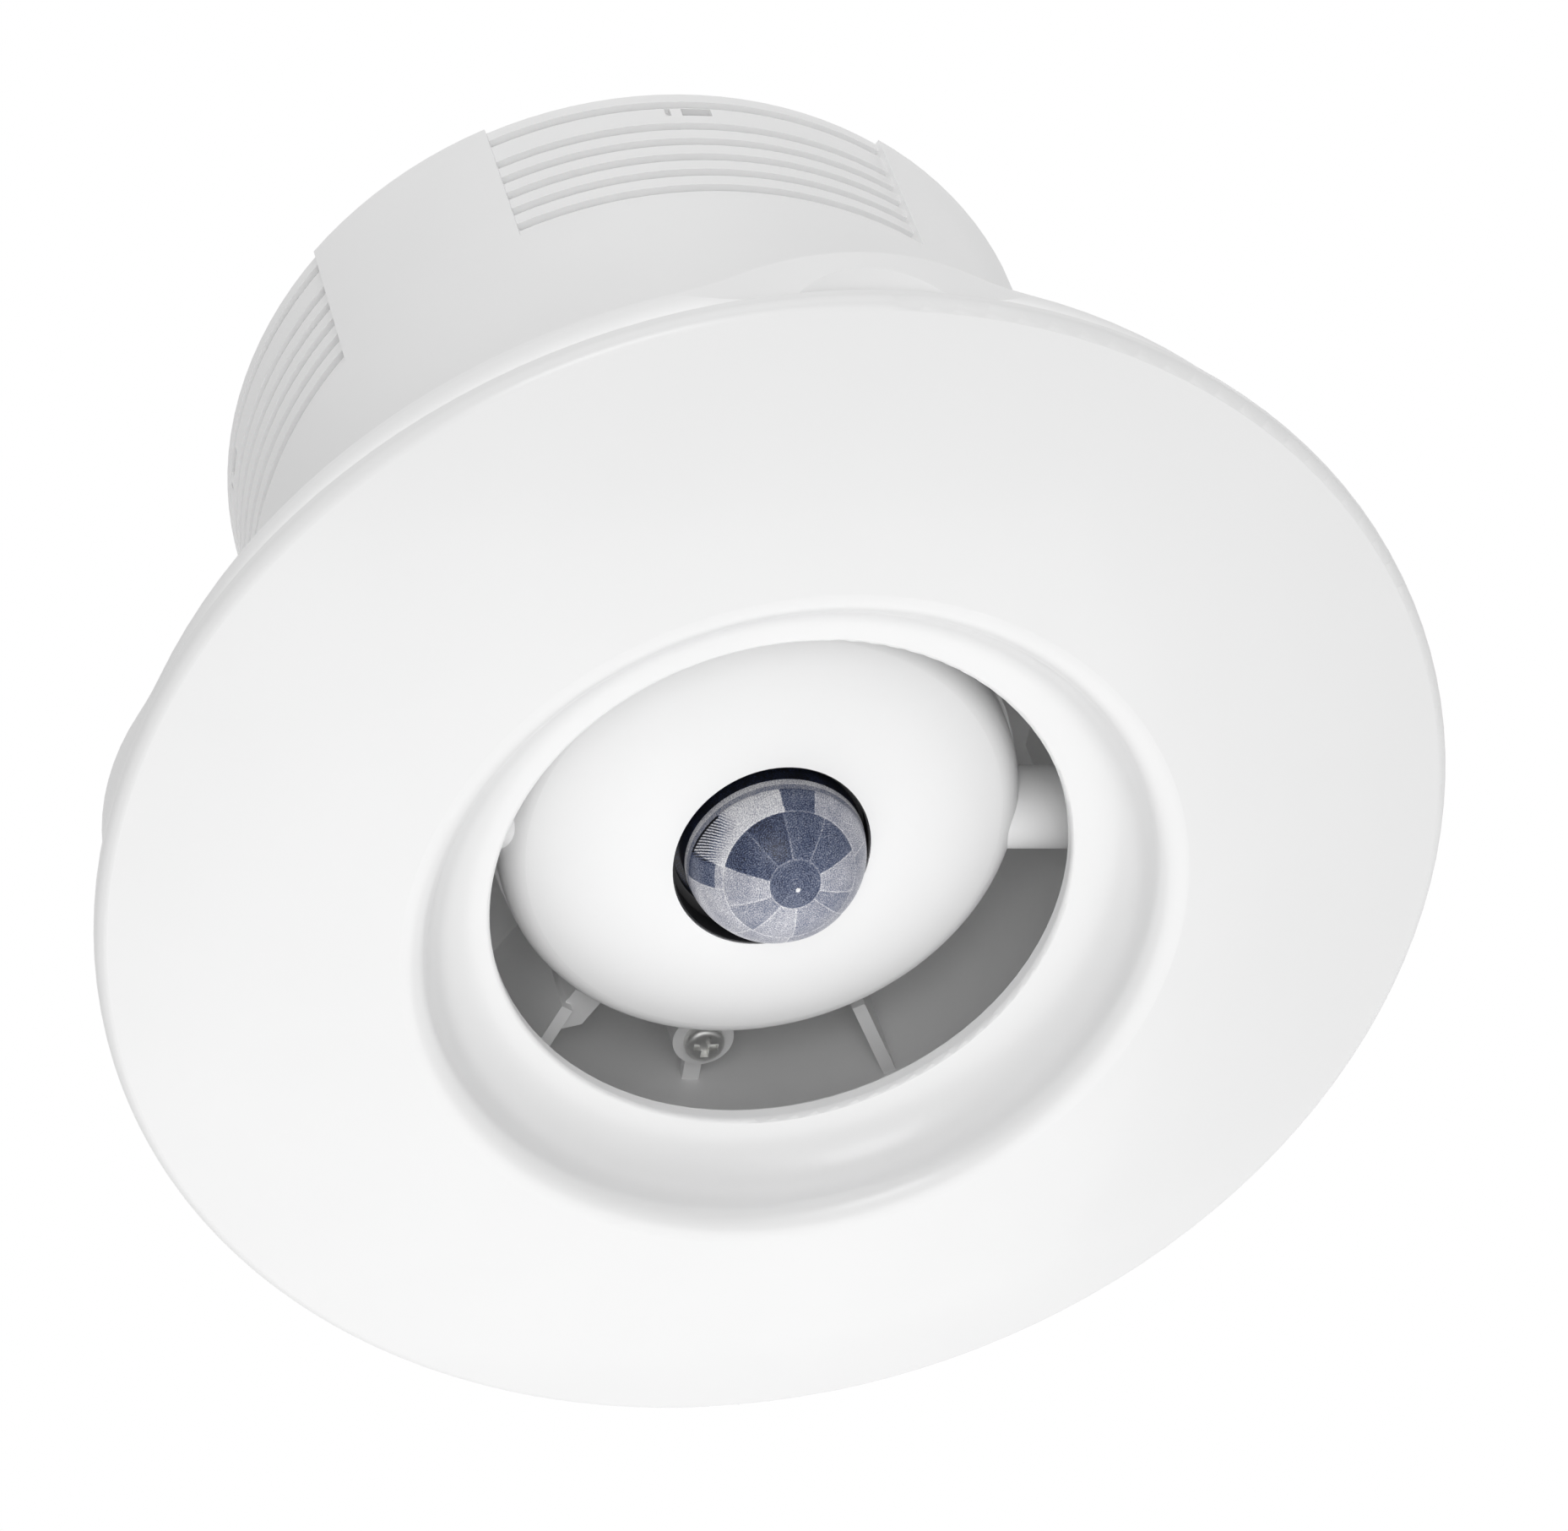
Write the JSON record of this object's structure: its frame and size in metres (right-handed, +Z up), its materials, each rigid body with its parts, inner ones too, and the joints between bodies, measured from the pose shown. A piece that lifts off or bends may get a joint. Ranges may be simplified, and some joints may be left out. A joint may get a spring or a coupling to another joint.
{
  "type": "recessed ceiling motion sensor",
  "caption": "Round flush ceiling motion sensor: dished white cover, ribbed can and a tilting, swivelling domed head with a faceted lens.",
  "frame": {"origin": "centre of the mounting ring's rear face, where the ring lies against the ceiling, on the can's axis", "axes": "+Z up along the can, into the ceiling; X along the head's tilt axis; the room is on the -Z side"},
  "size_m": [0.12, 0.12, 0.0868],
  "materials": {
    "cover_white": "satin gloss white moulding",
    "ring_white": "fine satin white moulding",
    "housing_white": "fine satin white moulding",
    "screw_steel": "bright zinc",
    "spring_steel": "spring steel",
    "felt_grey": "pressed felt",
    "swivel_white": "plain white moulding",
    "pin_steel": "ground steel",
    "washer_brass": "spring brass",
    "head_white": "soft satin white moulding",
    "head_back_white": "plain white moulding",
    "lens_blue_grey": "moulded facets, infrared-clear plastic",
    "bezel_black": "matt black",
    "board_green": "solder-masked board",
    "can_metal": "nickel-plated can",
    "detector_window": "dark filter",
    "sensor_clear": "clear resin",
    "led_red": "diffused resin",
    "part_black": "moulded epoxy",
    "plug_ivory": "nylon",
    "relay_blue": "moulded case",
    "core_grey": "varnished core",
    "film_yellow": "moulded case",
    "sleeve_black": "shrink sleeve",
    "varistor_blue": "dipped coating",
    "terminal_grey": "moulded polyamide",
    "cap_white": "fine satin white moulding",
    "grommet_rubber": "soft rubber"
  },
  "bodies": {
    "housing": {"front_cover": "cover_white", "mounting_ring": "ring_white", "housing_body": "housing_white", "flange_screws": "screw_steel", "snap_ring": "spring_steel", "felt_ring": "felt_grey", "power_board": "board_green", "board_screws": "screw_steel", "relay": "relay_blue", "transformer": "core_grey", "film_capacitor": "film_yellow", "smoothing_capacitors": "sleeve_black", "varistor": "varistor_blue", "fuse": "part_black", "terminal_block": "terminal_grey", "terminal_screws": "screw_steel", "control_chip": "part_black", "board_plug": "plug_ivory", "rear_cap": "cap_white", "wiring_cover": "cap_white", "wiring_cover_screws": "screw_steel", "cable_grommet": "grommet_rubber", "cable_clamp": "cap_white", "cable_clamp_screws": "screw_steel"},
    "swivel": {"swivel_ring": "swivel_white", "back_plate": "swivel_white", "swivel_screws": "screw_steel", "pivot_pins": "pin_steel", "friction_washers": "washer_brass"},
    "head": {"head_shell": "head_white", "head_back": "head_back_white", "head_screws": "screw_steel", "fresnel_lens": "lens_blue_grey", "lens_bezel": "bezel_black", "lens_retainer": "bezel_black", "head_board": "board_green", "pir_detector": "can_metal", "detector_window": "detector_window", "daylight_sensor": "sensor_clear", "status_led": "led_red", "remote_receiver": "part_black", "head_plug": "plug_ivory"}
  },
  "joints": [
    {"name": "swivel_turn", "type": "hinge", "parent": "housing", "child": "swivel", "pos_m": [0, 0, 0.0045], "axis": [0, 0, 1], "range_deg": [-90, 90]},
    {"name": "head_tilt", "type": "hinge", "parent": "swivel", "child": "head", "pos_m": [0, 0, 0.0045], "axis": [1, 0, 0], "range_deg": [-26.5, 23.5]}
  ]
}
